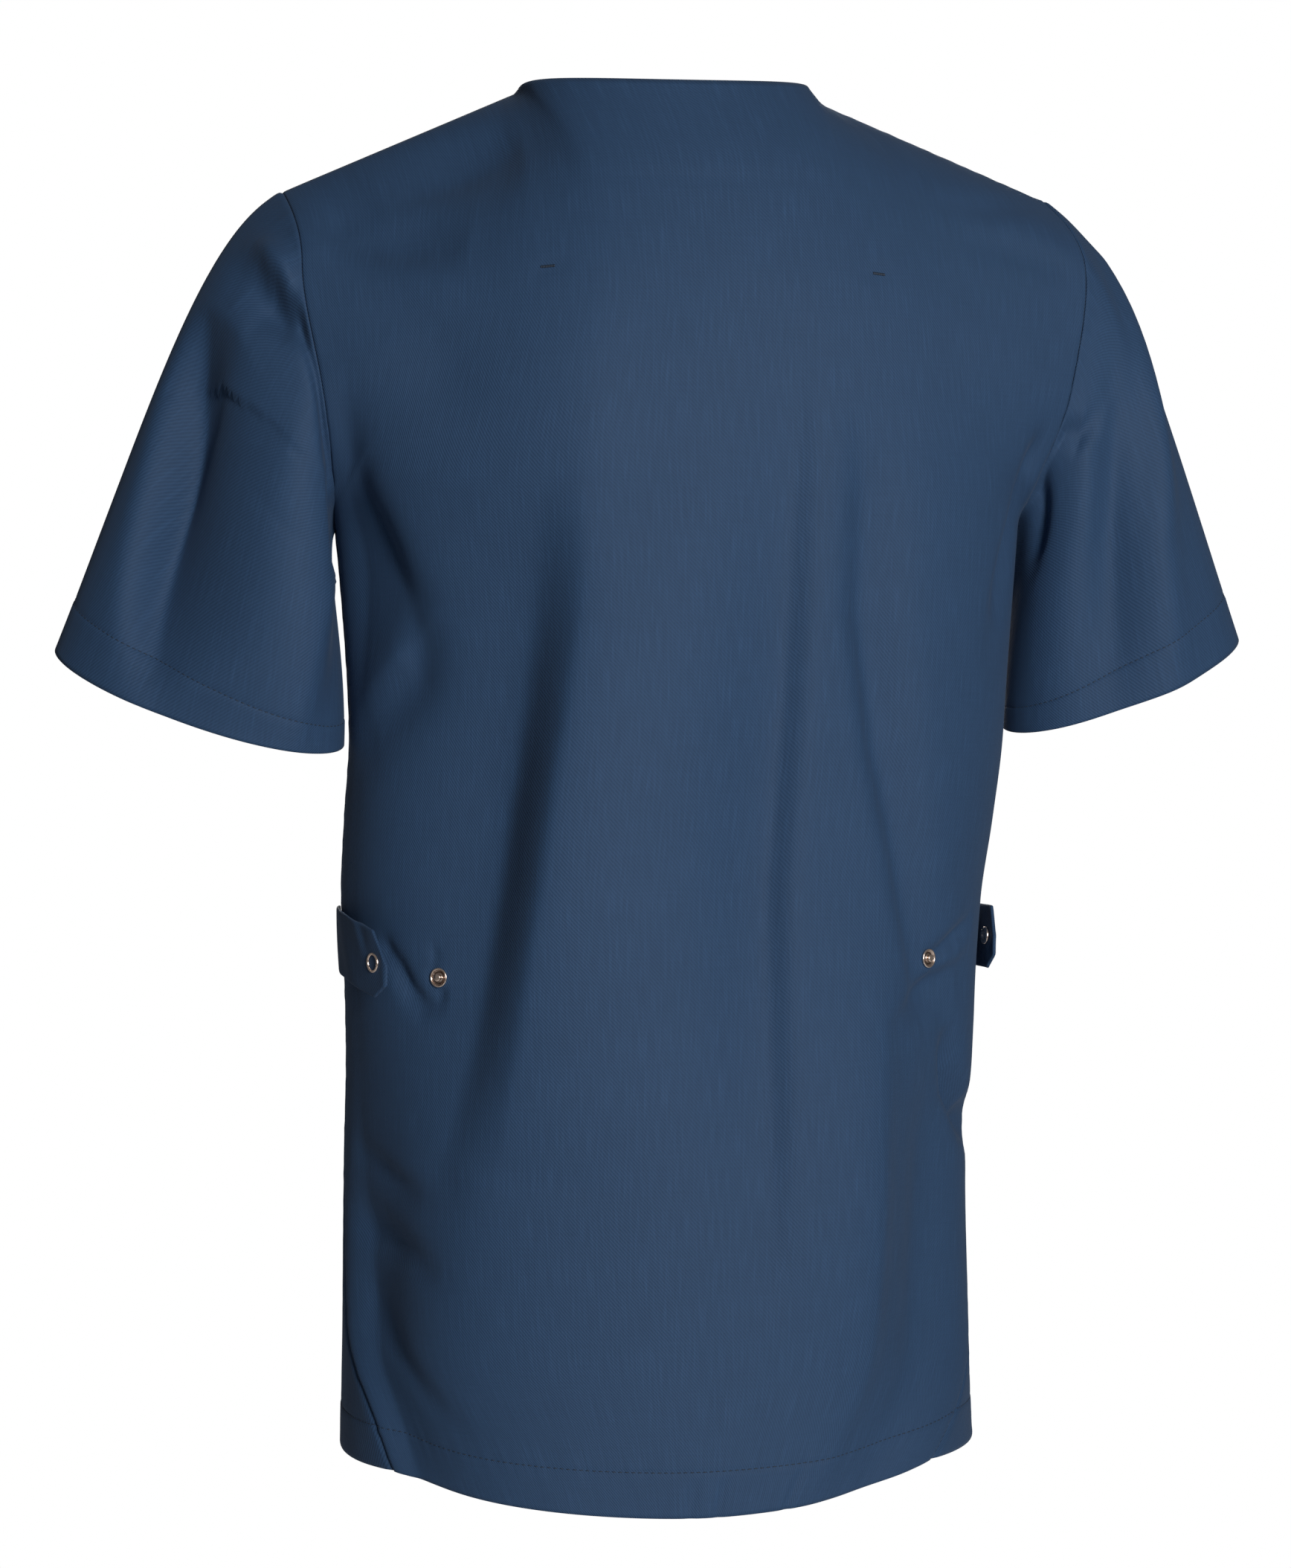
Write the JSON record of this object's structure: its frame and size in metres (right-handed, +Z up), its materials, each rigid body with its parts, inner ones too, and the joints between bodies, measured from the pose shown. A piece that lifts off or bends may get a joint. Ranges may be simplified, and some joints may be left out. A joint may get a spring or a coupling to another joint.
{
  "type": "medical scrub top",
  "caption": "Short-sleeved medical scrub tunic top with a V neck, set-in sleeves and unfastened waist tabs with ring snaps, in its hollow worn form.",
  "frame": {"origin": "midway between the two points where the shoulder seams meet the neck, where the wearer's neck and shoulders hold the garment", "axes": "+Z up along the body, +Y to the wearer's back, +X to the wearer's left"},
  "size_m": [0.6436, 0.261, 0.7314],
  "materials": {
    "twill": "navy polyester-cotton twill, faint satin sheen",
    "tab_twill": "the same twill in two stitched layers",
    "snap_metal": "warm nickel, lightly worn"
  },
  "bodies": {
    "root": {"back": "twill", "front": "twill", "sleeve_left": "twill", "sleeve_right": "twill", "tab_left": "tab_twill", "tab_right": "tab_twill", "ring_cap_left": "snap_metal", "ring_cap_right": "snap_metal", "socket_left": "snap_metal", "socket_right": "snap_metal", "stud_left": "snap_metal", "stud_right": "snap_metal", "stud_ring_left": "snap_metal", "stud_ring_right": "snap_metal"}
  },
  "joints": []
}
